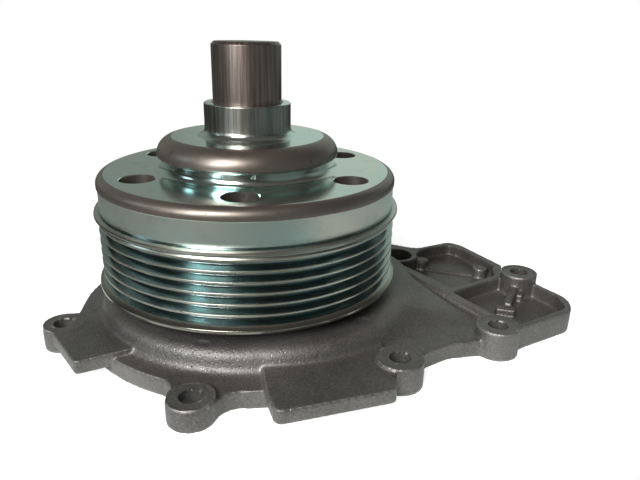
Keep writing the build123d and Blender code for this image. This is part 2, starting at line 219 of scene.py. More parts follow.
def reach_of(x, y):
    """Distance from the pump's axis."""
    return (x * x + y * y).math("SQRT")


def waves(distance, rate):
    """Even waves from 0 to 1; rate is in radians a metre."""
    return (distance * rate).sine() * 0.5 + 0.5


# ---------------------------------------------------------------- finishes
SEAT_RING_RATE = 9500.0         # rings 0.66 mm apart
CUTTER_MARK_RATE = 4200.0       # arcs 1.5 mm apart
CUTTER_CENTRE_Y = 0.4           # metres behind the pump's axis
SEAT_BLUR = 0.1 * MM
SEAT_EDGE = (0.6 * MM, 0.3 * MM)
GROOVE_FOOT = (21.3 * MM, 20.3 * MM)
GROOVE_FOOT_COLOUR = (0.2, 0.17, 0.12)


def cast_finish(name, colour):
    """Shot-blasted aluminium casting: grit, soft mottling, ringed bolt seats, and convex edges lightened
    partly as rubbed wear and partly as a painted edge highlight.
    """
    shader = Shader(name, Base_Color=rgb(colour), Metallic=0.7, Roughness=0.45)
    place = shader.place()
    mottle = shader.noise(place, 60.0, 4.0, 0.6)
    blotch = shader.noise(place, 18.0, 2.0)
    grain = shader.noise(place, 1300.0, 3.0, 0.75)
    pits = shader.cells(place, 800.0).step(0.05, 0.35)
    sparkle = shader.noise(place, 1900.0, 1.0).step(0.58, 0.72)
    worn_edge_and_painted_highlight = shader.node("ShaderNodeNewGeometry", output="Pointiness").step(0.515, 0.57)
    shade = mottle * 0.35 + blotch * 0.2 + grain * 0.45
    base = shader.mix(shade.step(0.3, 0.7), rgb(colour, 0.55), rgb(colour, 1.35))
    base = shader.mix(sparkle * 0.3, base, rgb(colour, 1.9))
    # Painted edge highlight: convex edges turn paler, partly as rubbed wear and partly as a painted
    # highlight.
    base = shader.mix(worn_edge_and_painted_highlight * mottle.step(0.3, 0.6), base, rgb(colour, 1.9))
    rough = 0.36 + mottle * 0.14 + grain * 0.1 - sparkle * 0.12
    seat, rings = seat_rings(shader, place)
    height = (grain * 0.6 + pits * 0.4) * (1.0 - seat * 0.7)
    skin = shader.bump(height, 0.00022, 0.85)
    return shader.feed(Base_Color=base, Roughness=rough,
                       Normal=shader.bump(rings * seat, 0.00005, 0.8, skin))


def seat_rings(shader, place):
    """1 on the machined bolt seats, and the rings that their cutter leaves."""
    x, y, z = shader.parts(place)
    seat, nearest = None, None
    for sx, sy, top, _ in bolt_seats():
        away = reach_of(x - sx, y - sy)
        on_top = away.step(SEAT_RADIUS + SEAT_BLUR, SEAT_RADIUS - SEAT_BLUR)
        on_top *= z.step(top - SEAT_EDGE[0], top - SEAT_EDGE[1])
        seat = on_top if seat is None else seat.at_least(on_top)
        nearest = away if nearest is None else nearest.at_most(away)
    return seat, waves(nearest, SEAT_RING_RATE)


def milled_finish(name, colour):
    """A face-milled surface: overlapping arcs from the cutter's path."""
    shader = Shader(name, Base_Color=rgb(colour), Metallic=1.0, Roughness=0.3)
    place = shader.place()
    x, y, _ = shader.parts(place)
    marks = waves(reach_of(x, y - CUTTER_CENTRE_Y), CUTTER_MARK_RATE)
    haze = shader.noise(place, 45.0, 3.0)
    base = shader.mix(haze, rgb(colour, 0.85), rgb(colour, 1.12))
    rough = 0.26 + haze * 0.14
    return shader.feed(Base_Color=base, Roughness=rough, Normal=shader.bump(marks, 0.000012, 0.5))


def turned_finish(name, colour, lines=5200.0, roughness=0.16, depth=0.000006):
    """Bright turned steel with fine rings and a faint passivated tint."""
    shader = Shader(name, Base_Color=rgb(colour), Metallic=1.0, Roughness=roughness)
    place = shader.place()
    x, y, z = shader.parts(place)
    rings = shader.noise(shader.along(z + reach_of(x, y)), lines, 2.0)
    haze = shader.noise(place, 55.0, 3.0)
    tint = shader.noise(place, 34.0, 2.0)
    stains = shader.noise(place, 130.0, 4.0, 0.7).step(0.55, 0.75)
    warm = (colour[0] * 1.05, colour[1] * 0.97, colour[2] * 0.9)
    cool = (colour[0] * 0.84, colour[1], colour[2])
    base = shader.mix(tint.step(0.3, 0.7), rgb(warm), rgb(cool))
    base = shader.mix(stains * 0.35, base, rgb(warm, 0.6))
    rough = roughness - 0.04 + haze * 0.1
    return shader.feed(Base_Color=base, Roughness=rough, Normal=shader.bump(rings, depth, 0.6))


def forged_finish(name, colour):
    """Brown forging skin: satin scale with fine pits."""
    shader = Shader(name, Base_Color=rgb(colour), Metallic=0.85, Roughness=0.38)
    place = shader.place()
    scale = shader.noise(place, 420.0, 4.0, 0.65)
    broad = shader.noise(place, 40.0, 3.0)
    pits = 1.0 - shader.cells(place, 260.0).step(0.0, 0.22)
    base = shader.mix(broad, rgb(colour, 0.8), rgb(colour, 1.2))
    base = shader.mix(pits * 0.6, base, rgb(colour, 0.3))
    rough = 0.3 + scale * 0.16
    height = scale * 0.5 - pits * 0.5
    return shader.feed(Base_Color=base, Roughness=rough, Normal=shader.bump(height, 0.00006, 0.5))


def grooved_finish(name, colour, crest, crest_reach):
    """Belt grooves: dark, glossy flanks under pale, rougher crests."""
    shader = Shader(name, Base_Color=rgb(colour), Metallic=1.0, Roughness=0.2)
    place = shader.place()
    x, y, z = shader.parts(place)
    reach = reach_of(x, y)
    foot = z.step(*GROOVE_FOOT)
    pale_crest = reach.step(crest_reach - 0.0005, crest_reach - 0.0001) * (1.0 - foot * 0.75)
    haze = shader.noise(place, 70.0, 3.0)
    rings = shader.noise(shader.along(z + reach), 6000.0, 2.0)
    base = shader.mix(haze, rgb(colour, 0.8), rgb(colour, 1.2))
    base = shader.mix(foot * 0.7, base, rgb(GROOVE_FOOT_COLOUR))
    base = shader.mix(pale_crest * (0.6 + haze * 0.4), base, rgb(crest))
    rough = 0.13 + haze * 0.1 + pale_crest * 0.1
    return shader.feed(Base_Color=base, Roughness=rough, Normal=shader.bump(rings, 0.000006, 0.6))


def ground_finish(name, colour, roughness=0.2, streaked=0.0):
    """Ground or polished steel with very fine lines round the axis, or streaks along it; in the colour the
    streaks are painted reflection streaks, and they also bend the surface and change its roughness.
    """
    shader = Shader(name, Base_Color=rgb(colour), Metallic=1.0, Roughness=roughness)
    place = shader.place()
    _, _, z = shader.parts(place)
    lines = shader.noise(shader.node("ShaderNodeCombineXYZ", None, {2: z}), 9000.0, 2.0)
    haze = shader.noise(place, 90.0, 3.0)
    streaks_and_painted_reflection = shader.noise(shader.stretch(place, (1.0, 1.0, 0.03)), 1100.0, 2.0, 0.6)
    # Painted reflection: the streaks along the axis paint lighter and darker bands into the colour.
    tone = haze * (1.0 - streaked) + streaks_and_painted_reflection.step(0.3, 0.7) * streaked
    base = shader.mix(tone, rgb(colour, 0.86 - streaked * 0.4), rgb(colour, 1.1 + streaked * 0.35))
    rough = roughness - 0.04 + haze * 0.08 + streaks_and_painted_reflection * 0.12 * streaked
    height = lines * (1.0 - streaked) + streaks_and_painted_reflection * streaked
    return shader.feed(Base_Color=base, Roughness=rough, Normal=shader.bump(height, 0.000004, 0.5))


def moulded_finish(name, colour, roughness=0.55, grain=700.0, depth=0.00004, metallic=0.0):
    """Moulded rubber, resin or carbon with a fine grain."""
    shader = Shader(name, Base_Color=rgb(colour), Roughness=roughness, Metallic=metallic)
    place = shader.place()
    fine = shader.noise(place, grain, 3.0)
    broad = shader.noise(place, 70.0, 2.0)
    base = shader.mix(broad, rgb(colour, 0.75), rgb(colour, 1.3))
    rough = roughness - 0.06 + fine * 0.14
    return shader.feed(Base_Color=base, Roughness=rough, Normal=shader.bump(fine, depth, 0.5))


# ---------------------------------------------------------------- mesh helpers
def add_object(name, mesh):
    """A new object in the scene."""
    piece = bpy.data.objects.new(name, mesh)
    bpy.context.scene.collection.objects.link(piece)
    return piece


def finish_piece(piece, body, slot, *materials):
    """Gives a piece its materials and body; the slot argument is not used."""
    for material in materials:
        piece.data.materials.append(material)
    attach(piece, body)
    return piece


def apply_modifiers(piece):
    """Replaces the piece's mesh with the mesh that its modifiers make."""
    graph = bpy.context.evaluated_depsgraph_get()
    made = bpy.data.meshes.new_from_object(piece.evaluated_get(graph))
    old = piece.data
    piece.modifiers.clear()
    piece.data = made
    bpy.data.meshes.remove(old)


def round_corners(corners, step=radians(9)):
    """Points of an outline from (r, z) or (r, z, radius) corners, with arcs at the radii."""
    points = []
    count = len(corners)
    for i, corner in enumerate(corners):
        here = Vector(corner[:2])
        if len(corner) == 2:
            points.append(here)
            continue
        before = (Vector(corners[i - 1][:2]) - here).normalized()
        after = (Vector(corners[(i + 1) % count][:2]) - here).normalized()
        half = before.angle(after) / 2
        radius = corner[2]
        centre = here + (before + after).normalized() * (radius / sin(half))
        first = here + before * (radius / tan(half))
        last = here + after * (radius / tan(half))
        start, end = first - centre, last - centre
        turn = start.angle_signed(end)
        pieces = max(2, int(abs(turn) / step) + 1)
        for k in range(pieces + 1):
            angle = -turn * k / pieces
            c, s = cos(angle), sin(angle)
            points.append(centre + Vector((start.x * c - start.y * s, start.x * s + start.y * c)))
    return points


def turn_profile(name, corners, segments=288):
    """A closed lathe mesh from an outline of (r, z) corners in millimetres."""
    points = [p * MM for p in round_corners(corners)]
    rows = len(points)
    verts = []
    for j in range(segments):
        a = 2 * pi * j / segments
        c, s = cos(a), sin(a)
        verts += [(p.x * c, p.x * s, p.y) for p in points]
    faces = []
    for j in range(segments):
        left, right = j * rows, (j + 1) % segments * rows
        for i in range(rows):
            k = (i + 1) % rows
            faces.append((left + i, right + i, right + k, left + k))
    mesh = bpy.data.meshes.new(name)
    mesh.from_pydata(verts, [], faces)
    mesh.update()
    return mesh


def tidy_normals(mesh, sharp=radians(32)):
    """Outward normals and smooth shading with sharp edges kept."""
    work = bmesh.new()
    work.from_mesh(mesh)
    bmesh.ops.recalc_face_normals(work, faces=work.faces)
    work.to_mesh(mesh)
    work.free()
    mesh.shade_smooth()
    mesh.set_sharp_from_angle(angle=sharp)


# ---------------------------------------------------------------- sizes and colours
class PumpSizes(bpy.types.PropertyGroup):
    """Sizes of the dressed pieces, in millimetres unless a unit says otherwise."""

    voxel: bpy.props.FloatProperty(
        name="Casting grain", description="Size of the casting skin's mesh cells", default=0.5, min=0.3)
    soften: bpy.props.IntProperty(
        name="Casting softness", description="Smoothing passes that round the casting's edges",
        default=2, min=0)
    swell_passes: bpy.props.IntProperty(
        name="Swell softness", description="Smoothing passes that round the back of the outlet swell",
        default=260, min=0)
    rib_pitch: bpy.props.FloatProperty(
        name="Rib pitch", description="Distance between two belt ribs", default=3.56)
    groove_depth: bpy.props.FloatProperty(
        name="Groove depth", description="Depth of a belt groove", default=2.9)
    pulley_hole: bpy.props.FloatProperty(
        name="Disc hole radius", description="Radius of the holes in the pulley disc", default=5.8)


class PumpColours(bpy.types.PropertyGroup):
    """Colours of the finishes."""

    casting: bpy.props.FloatVectorProperty(
        name="Casting", description="Blasted aluminium", subtype="COLOR", default=(0.19, 0.178, 0.171))
    steel: bpy.props.FloatVectorProperty(
        name="Turned steel", description="Bright machined steel", subtype="COLOR",
        default=(0.70, 0.75, 0.73))
    forging: bpy.props.FloatVectorProperty(
        name="Forging skin", description="Skin left on the pulley's shoulders", subtype="COLOR",
        default=(0.235, 0.2, 0.175))
    groove: bpy.props.FloatVectorProperty(
        name="Belt grooves", description="Glossy flanks of the belt grooves", subtype="COLOR",
        default=(0.3, 0.37, 0.37))
    floor: bpy.props.FloatVectorProperty(
        name="Floor", description="Studio floor", subtype="COLOR", default=(0.9, 0.9, 0.9))


# ---------------------------------------------------------------- casting
NECK_REACH = BEARING_BORE + 3 * MM
NECK_FOOT = 10 * MM
BASE_LAYER = 0.4 * MM


def machined_weight(points):
    """1 on vertices of machined faces, which keep their shape, and 0 on the cast skin."""
    x, y, z = points.T
    cell = 0.7 * MM
    keep = z < BASE_LAYER
    keep |= (np.hypot(x, y) < NECK_REACH) & (z > NECK_FOOT)
    for sx, sy, top, radius in bolt_seats():
        away = np.hypot(x - sx, y - sy)
        keep |= away < radius + cell
        keep |= (away < SEAT_RADIUS) & (abs(z - top) < cell)
    return keep.astype(float)


def relax(points, edges, movable, passes, strength=0.55):
    """Laplacian smoothing of the vertices that may move."""
    count = len(points)
    neighbours = np.bincount(edges.ravel(), minlength=count).astype(float)
    for _ in range(passes):
        total = np.zeros_like(points)
        for axis in range(3):
            total[:, axis] = np.bincount(edges[:, 0], points[edges[:, 1], axis], count)
            total[:, axis] += np.bincount(edges[:, 1], points[edges[:, 0], axis], count)
        target = total / neighbours[:, None]
        points = points + (target - points) * (movable * strength)[:, None]
    return points


def relax_part(points, edges, weight, passes):
    """Long smoothing of the few vertices that have a weight."""
    chosen = np.flatnonzero(weight)
    known = np.unique(edges[(weight[edges] > 0).any(axis=1)])
    place = np.full(len(points), -1)
    place[known] = np.arange(len(known))
    local_edges = place[edges[(place[edges] >= 0).all(axis=1)]]
    local = relax(points[known], local_edges, weight[known], passes)
    points[chosen] = local[place[chosen]]
    return points


RIM_WIDTH = 1.2 * MM
RIM_HEIGHT = 0.18 * MM
BASE_SNAP = 0.3 * MM


def snap_machined(points):
    """Puts the machined seats, holes and base exactly on their planes and cylinders."""
    x, y, z = points.T
    cell = 0.4 * MM
    for sx, sy, top, radius in bolt_seats():
        away = np.hypot(x - sx, y - sy)
        on_wall = abs(away - radius) < cell
        scale = np.where(on_wall, radius / np.maximum(away, 1e-6), 1.0)
        points[:, 0] = np.where(on_wall, sx + (x - sx) * scale, x)
        points[:, 1] = np.where(on_wall, sy + (y - sy) * scale, y)
        on_top = abs(z - top) < cell
        points[:, 2] = np.where((away < SEAT_RADIUS) & on_top, top, points[:, 2])
        rim = (away > SEAT_RADIUS) & (away < SEAT_RADIUS + RIM_WIDTH) & on_top
        points[:, 2] = np.where(rim, top + RIM_HEIGHT, points[:, 2])
        x, y, z = points.T
    points[:, 2] = np.where(abs(z) < BASE_SNAP, 0.0, points[:, 2])
    return points


def ramp(values, low, high):
    """0 at low, 1 at high, smooth between; low may be the larger."""
    share = np.clip((values - low) / (high - low), 0.0, 1.0)
    return share * share * (3.0 - 2.0 * share)


# in millimetres; a pair of limits is where the effect starts and where it is full
DIVIDER = ((60.6, 19.6), (87.2, -30.4))     # the two ends of the tray's long wall
SWELL_BOLTS = ((45.6, -55.2), (84.3, -39.2), (65.6, 29.2))
SWELL_FROM_WALL = (1.8, 4.5)
SWELL_FROM_BOLT = (9.0, 11.5)
SWELL_INNER = (34, 42)
SWELL_FRONT = (-41.5, -36)
SWELL_REAR = (24, 18)
SWELL_FOOT = 5.8
CHAMBER_CENTRE = (0.8, -0.6)
CHAMBER_REACH = 48.8
CHAMBER_TOP = 10.4
VALLEY_DEPTH = 1.1
VALLEY_WALL, VALLEY_MIDDLE, VALLEY_EDGE = 1.3, 2.2, 6.0
VALLEY_FRONT = (-27, -11)
VALLEY_REAR = (21, 12)
VALLEY_LOWEST, VALLEY_HIGHEST = 6.5, 11


def off_divider(x, y):
    """Distance from the tray's long wall, positive on the side of the outlet swell."""
    (ax, ay), (bx, by) = DIVIDER
    return ((x - ax) * (by - ay) - (y - ay) * (bx - ax)) / hypot(bx - ax, by - ay)


def swell_weight(points, normals):
    """1 on the back of the outlet swell, 0 on the walls, bolt seats and edges round it."""
    x, y, z = (points / MM).T
    weight = ramp(off_divider(x, y), *SWELL_FROM_WALL) * ramp(x, *SWELL_INNER)
    weight *= ramp(y, *SWELL_FRONT) * ramp(y, *SWELL_REAR)
    for sx, sy in SWELL_BOLTS:
        weight *= ramp(np.hypot(x - sx, y - sy), *SWELL_FROM_BOLT)
    cx, cy = CHAMBER_CENTRE
    inside = (np.hypot(x - cx, y - cy) < CHAMBER_REACH) & (z < CHAMBER_TOP)
    return weight * (normals[:, 2] > -0.3) * (z > SWELL_FOOT) * ~inside


def carve_valley(points, normals):
    """Deepens the joint between the outlet swell and the tray's long wall."""
    x, y, z = (points / MM).T
    off_wall = off_divider(x, y)
    share = ramp(off_wall, VALLEY_WALL, VALLEY_MIDDLE) * ramp(off_wall, VALLEY_EDGE, VALLEY_MIDDLE)
    share *= ramp(y, *VALLEY_FRONT) * ramp(y, *VALLEY_REAR) * (normals[:, 2] > 0)
    share *= (z > VALLEY_LOWEST) * (z < VALLEY_HIGHEST)
    points[:, 2] -= share * VALLEY_DEPTH * MM
    return points


# ejector pins pressed into the crown: x, y, radius, depth in millimetres
PIN_MARKS = ((-15.6, -49.2, 2.3, 0.05), (37.0, -39.5, 2.4, 0.25))
CROWN_FOOT = 10.5 * MM


def press_pins(points):
    """Flattens the round marks that the ejector pins leave."""
    x, y, z = points.T
    for px, py, radius, depth in PIN_MARKS:
        inside = (np.hypot(x - px * MM, y - py * MM) < radius * MM) & (z > CROWN_FOOT)
        level = np.median(points[inside, 2]) - depth * MM
        points[inside, 2] = np.minimum(points[inside, 2], level)
    return points


def read_vectors(items, name):
    """One vector of each vertex, as rows of an array."""
    flat = np.empty(len(items) * 3)
    items.foreach_get(name, flat)
    return flat.reshape(-1, 3)


MILLED_COLOUR = (0.62, 0.62, 0.60)


def build_casting(sizes, colours):
    """The housing's skin: the CAD shape remeshed and relaxed like a die casting."""
    source = NODES["housing"]
    piece = add_object("housing_casting", source.data.copy())
    piece.data.materials.clear()
    remesh = piece.modifiers.new("skin", "REMESH")
    remesh.mode = "VOXEL"
    remesh.voxel_size = sizes.voxel * MM
    apply_modifiers(piece)
    mesh = piece.data
    points = read_vectors(mesh.vertices, "co")
    normals = read_vectors(mesh.vertices, "normal")
    ends = np.empty(len(mesh.edges) * 2, dtype=np.int64)
    mesh.edges.foreach_get("vertices", ends)
    edges = ends.reshape(-1, 2)
    swell = swell_weight(points, normals)
    points = relax_part(points, edges, swell, sizes.swell_passes)
    movable = 1.0 - machined_weight(points)
    points = carve_valley(points, normals)
    points = relax(points, edges, movable, sizes.soften)
    points = snap_machined(press_pins(points))
    mesh.vertices.foreach_set("co", points.ravel())
    mesh.update()
    mesh.shade_smooth()
    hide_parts("housing")
    finish_piece(piece, "housing_body", "cast_aluminium",
                 cast_finish("cast_aluminium_blasted", colours.casting),
                 milled_finish("cast_aluminium_milled", MILLED_COLOUR))
    mark_milled(mesh)


def mark_milled(mesh):
    """Gives the base face and the bearing bore the milled finish."""
    for polygon in mesh.polygons:
        centre = polygon.center
        down = polygon.normal.z < -0.95 and centre.z < 0.05 * MM
        bore = hypot(centre.x, centre.y) < BEARING_BORE + 0.3 * MM and centre.z > NECK_FOOT
        polygon.material_index = 1 if down or bore else 0


# ---------------------------------------------------------------- pulley
RIBS = 6
CREST_REACH = 53.1
CREST_HALF = 0.3
TOP_CREST = 42.0
FLANK_ANGLE = radians(20)


def pulley_corners(sizes):
    """The pulley's outline, from the collar's top down the outside and up the inside."""
    corners = [
        (12.5, 80.4), (15.12, 80.4, 0.5), (15.12, 69.1, 3.0), (32.0, 69.1, 6.0),
        (32.0, 62.7, 0.25), (31.45, 62.2, 0.2), (30.6, 61.7), (30.6, 57.6, 2.8),
        (52.7, 57.6, 3.1), (52.7, 53.6, 0.2), (52.36, 53.4, 0.15), (52.36, 45.8, 0.2),
        (51.8, 45.6, 0.1), (51.8, 45.2, 0.15), (54.2, 45.2, 0.35), (54.4, 44.2, 0.3),
        (52.6, 43.1, 0.4), (53.1, 42.3, 0.2),
    ]
    pitch, depth = sizes.rib_pitch, sizes.groove_depth
    root_half = pitch / 2 - CREST_HALF - depth * tan(FLANK_ANGLE)
    root = CREST_REACH - depth
    for i in range(RIBS):
        middle = TOP_CREST - pitch * (i + 0.5)
        upper, lower = middle + pitch / 2 - CREST_HALF, middle - pitch / 2 + CREST_HALF
        corners += [
            (CREST_REACH, upper, 0.2), (root, middle + root_half, 0.3),
            (root, middle - root_half, 0.3), (CREST_REACH, lower, 0.2),
        ]
    foot = TOP_CREST - RIBS * pitch
    corners += [
        (54.5, foot - 0.7, 0.3), (54.5, 19.0, 0.3), (53.9, 18.5, 0.3), (46.5, 18.5, 0.9),
        (46.5, 51.0, 5.0), (26.9, 51.0, 2.0), (26.9, 62.5, 4.0), (17.12, 62.5, 1.5),
        (16.72, 60.8), (12.5, 60.8),
    ]
    return corners


FIRST_HOLE = radians(-94)
DRILL_CHAMFER = 0.3
DRILL_RUNOUT = 0.5
DRILL_SIDES = 144
DRILL_FOOT, DISC_TOP = 50.0, 57.6       # the drill starts 1 mm under the disc


def drill_disc(piece, radius):
    """Cuts the chamfered holes through the pulley's disc."""
    pattern = MOUNTS["pulley_holes"]["dims"]
    circle = pattern["pcd_mm"] / 2
    wide = radius + DRILL_CHAMFER
    profile = [(wide, DRILL_FOOT), (radius, DRILL_FOOT + DRILL_CHAMFER), (radius, DISC_TOP - DRILL_CHAMFER),
               (wide + DRILL_RUNOUT, DISC_TOP + DRILL_RUNOUT)]
    cutter_mesh = bpy.data.meshes.new("drill")
    work = bmesh.new()
    for i in range(pattern["count"]):
        a = FIRST_HOLE + 2 * pi * i / pattern["count"]
        cx, cy = circle * cos(a), circle * sin(a)
        rings = []
        for r, z in profile:
            ring = [work.verts.new(((cx + r * cos(t)) * MM, (cy + r * sin(t)) * MM, z * MM))
                    for t in (2 * pi * k / DRILL_SIDES for k in range(DRILL_SIDES))]
            rings.append(ring)
        for lower, upper in zip(rings, rings[1:]):
            for k in range(DRILL_SIDES):
                n = (k + 1) % DRILL_SIDES
                work.faces.new((lower[k], lower[n], upper[n], upper[k]))
        work.faces.new(list(reversed(rings[0])))
        work.faces.new(rings[-1])
    bmesh.ops.recalc_face_normals(work, faces=work.faces)
    work.to_mesh(cutter_mesh)
    work.free()
    cutter = add_object("drill", cutter_mesh)
    cut = piece.modifiers.new("holes", "BOOLEAN")
    cut.operation = "DIFFERENCE"
    cut.solver = "EXACT"
    cut.object = cutter
    apply_modifiers(piece)
    bpy.data.objects.remove(cutter)


# the pulley's finishes, in the order of its materials
TURNED, FORGED, GROOVED, COLLAR, BAND = range(5)
# distance from the axis and height of the faces with each finish, in millimetres
MACHINED_BANDS = (
    (GROOVED, (49.9, 55.0), (18.4, 45.3)),
    (COLLAR, (14.6, 15.4), (69.8, 80.2)),
    (BAND, (52.0, 55.0), (45.7, 53.6)),
)
SHOULDERS = (((26.3, 32.1), (62.35, 69.05)), ((49.9, 52.8), (53.75, 57.55)))
CUP_REACH, CUP_TOP = 46.7, 62.6
NECK_BAND = (30, 31.5)                      # the turned neck under the dome


def within(value, limits):
    """Whether a value lies between two limits."""
    return limits[0] < value < limits[1]


def pulley_face(reach, height, upward):
    """The finish of a pulley face, from its place and the upward part of its normal."""
    for finish, reaches, heights in MACHINED_BANDS:
        if within(reach, reaches) and within(height, heights):
            return finish
    if upward > -0.3 and any(within(reach, near) and within(height, tall) for near, tall in SHOULDERS):
        return FORGED
    in_cup = reach < CUP_REACH and height < CUP_TOP and upward < 0.2
    return FORGED if in_cup and not within(reach, NECK_BAND) else TURNED


def mark_pulley(mesh):
    """Gives each face of the pulley its finish: turned, forging skin, grooves, collar or band."""
    for polygon in mesh.polygons:
        centre = polygon.center / MM
        polygon.material_index = pulley_face(hypot(centre.x, centre.y), centre.z, polygon.normal.z)


CREST_COLOUR = (0.6, 0.57, 0.5)
COLLAR_COLOUR = (0.35, 0.355, 0.33)


def build_pulley(sizes, colours):
    """The turned pulley with its drilled disc."""
    piece = add_object("pulley_turned", turn_profile("pulley_turned", pulley_corners(sizes)))
    tidy_normals(piece.data)
    drill_disc(piece, sizes.pulley_hole)
    tidy_normals(piece.data, radians(28))
    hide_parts("pulley")
    finish_piece(piece, "rotor", "pulley_steel",
                 turned_finish("pulley_steel_turned", colours.steel),
                 forged_finish("pulley_steel_forged", colours.forging),
                 grooved_finish("pulley_steel_grooved", colours.groove, CREST_COLOUR, CREST_REACH * MM),
                 ground_finish("pulley_steel_collar", COLLAR_COLOUR, 0.28, 0.7),
                 turned_finish("pulley_steel_band", colours.steel, 5200.0, 0.36, 0.00001))
    mark_pulley(piece.data)


# ---------------------------------------------------------------- spindle
SPINDLE_COLOUR = (0.28, 0.225, 0.205)


def build_spindle():
    """The spindle, with its ground journal, raceways and centre-drilled end."""
    corners = [
        (0, 97.4), (1.6, 98.2), (1.6, 99.0), (3.0, 100.4, 0.1), (10.9, 100.4, 0.25),
        (11.906, 99.4, 0.25), (11.906, 80.35), (12.48, 80.35, 0.1), (12.48, 58.6), (11.0, 58.6),
        (11.0, 51.0), (9.92, 48.0, 3.9), (9.92, 46.0, 3.9), (11.0, 43.0), (11.0, 21.6, 0.3),
        (8.0, 21.6, 0.3), (8.0, 2.2), (7.4, 1.8), (0, 1.8),
    ]
    piece = add_object("spindle_ground", turn_profile("spindle_ground", corners, 192))
    work = bmesh.new()
    work.from_mesh(piece.data)
    bmesh.ops.remove_doubles(work, verts=work.verts, dist=1e-6)
    work.to_mesh(piece.data)
    work.free()
    tidy_normals(piece.data)
    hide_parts("bearing_shaft")
    finish_piece(piece, "rotor", "ground_steel",
                 ground_finish("ground_steel_spindle", SPINDLE_COLOUR, 0.36, 0.7))


# ---------------------------------------------------------------- inner pieces
def dress_inner_pieces():
    """Finishes for the CAD pieces that keep their own shape."""
    bright = ground_finish("bearing_steel_polished", (0.62, 0.62, 0.63), 0.14)
    plated = turned_finish("pressed_steel_plated", (0.60, 0.58, 0.50), 3000.0, 0.26)
    rubber = moulded_finish("seal_rubber_moulded", (0.025, 0.025, 0.027), 0.5)
    gasket = moulded_finish("gasket_rubber_moulded", (0.035, 0.036, 0.04), 0.6)
    cage = moulded_finish("cage_plastic_moulded", (0.16, 0.09, 0.05), 0.42)
    resin = moulded_finish("impeller_resin_moulded", (0.05, 0.047, 0.045), 0.45, 420.0, 0.00008)
    brass = turned_finish("brass_drawn", (0.72, 0.53, 0.24), 2600.0, 0.24)
    wire = ground_finish("spring_steel_wire", (0.5, 0.5, 0.52), 0.25)
    carbon = moulded_finish("carbon_lapped", (0.03, 0.03, 0.033), 0.3, 2200.0, 0.00001, 0.2)
    ceramic = moulded_finish("ceramic_lapped", (0.12, 0.12, 0.125), 0.2, 1800.0, 0.000006)
    looks = {
        "bearing_outer_ring": bright, "bearing_balls": bright, "bearing_rollers": bright,
        "ball_cage": cage, "roller_cage": cage, "bearing_seal_front": rubber,
        "bearing_seal_rear": rubber, "seal_bellows": rubber, "seal_seat_boot": rubber,
        "flange_gasket": gasket, "slinger": plated, "seal_spring_cup": plated,
        "impeller_insert": plated, "seal_cup": brass, "seal_spring": wire,
        "seal_carbon_ring": carbon, "seal_seat_ring": ceramic, "impeller": resin,
    }
    for name, material in looks.items():
        for slot in NODES[name].material_slots:
            slot.material = material


# ---------------------------------------------------------------- stage
CAMERA_PLACE = (0.0, -0.20733, 0.10544)
CAMERA_YAW = radians(7.303)
CAMERA_PITCH = radians(20.274)
CAMERA_ROLL = radians(1.2168)
CAMERA_LENS = 32.477
CAMERA_SENSOR = 36


def add_camera():
    """The camera: in front of the pump, just above it and looking down at it."""
    data = bpy.data.cameras.new("camera")
    data.lens = CAMERA_LENS
    data.sensor_width = CAMERA_SENSOR
    data.clip_start = 0.01
    camera = add_object("camera", data)
    turn = Matrix.Rotation(-CAMERA_YAW, 4, "Z")
    tilt = Matrix.Rotation(pi / 2 - CAMERA_PITCH, 4, "X")
    roll = Matrix.Rotation(CAMERA_ROLL, 4, "Z")
    camera.matrix_world = Matrix.Translation(CAMERA_PLACE) @ turn @ tilt @ roll
    bpy.context.scene.camera = camera


# name, azimuth in degrees, distance, height, width, height of the box, watts, colour; lengths in metres
SOFTBOXES = [
    ("key_softbox", -120.0, 0.8, 0.58, 0.36, 0.42, 9.0, (1.0, 0.98, 0.955)),
    ("low_softbox", -131.0, 0.9, 0.36, 0.12, 0.24, 2.0, (0.86, 1.0, 1.0)),
    ("side_softbox", -176.0, 0.9, 0.4, 0.2, 0.24, 0.4, (0.7, 0.92, 1.0)),
]


def add_softbox(name, place, target, width, height, watts, colour):
    """A soft rectangular light that faces a point."""
    data = bpy.data.lights.new(name, "AREA")
    data.shape = "RECTANGLE"
    data.size = width
    data.size_y = height
    data.energy = watts
    data.color = colour
    light = add_object(name, data)
    light.location = place
    light.rotation_euler = (Vector(target) - Vector(place)).to_track_quat("-Z", "Y").to_euler()


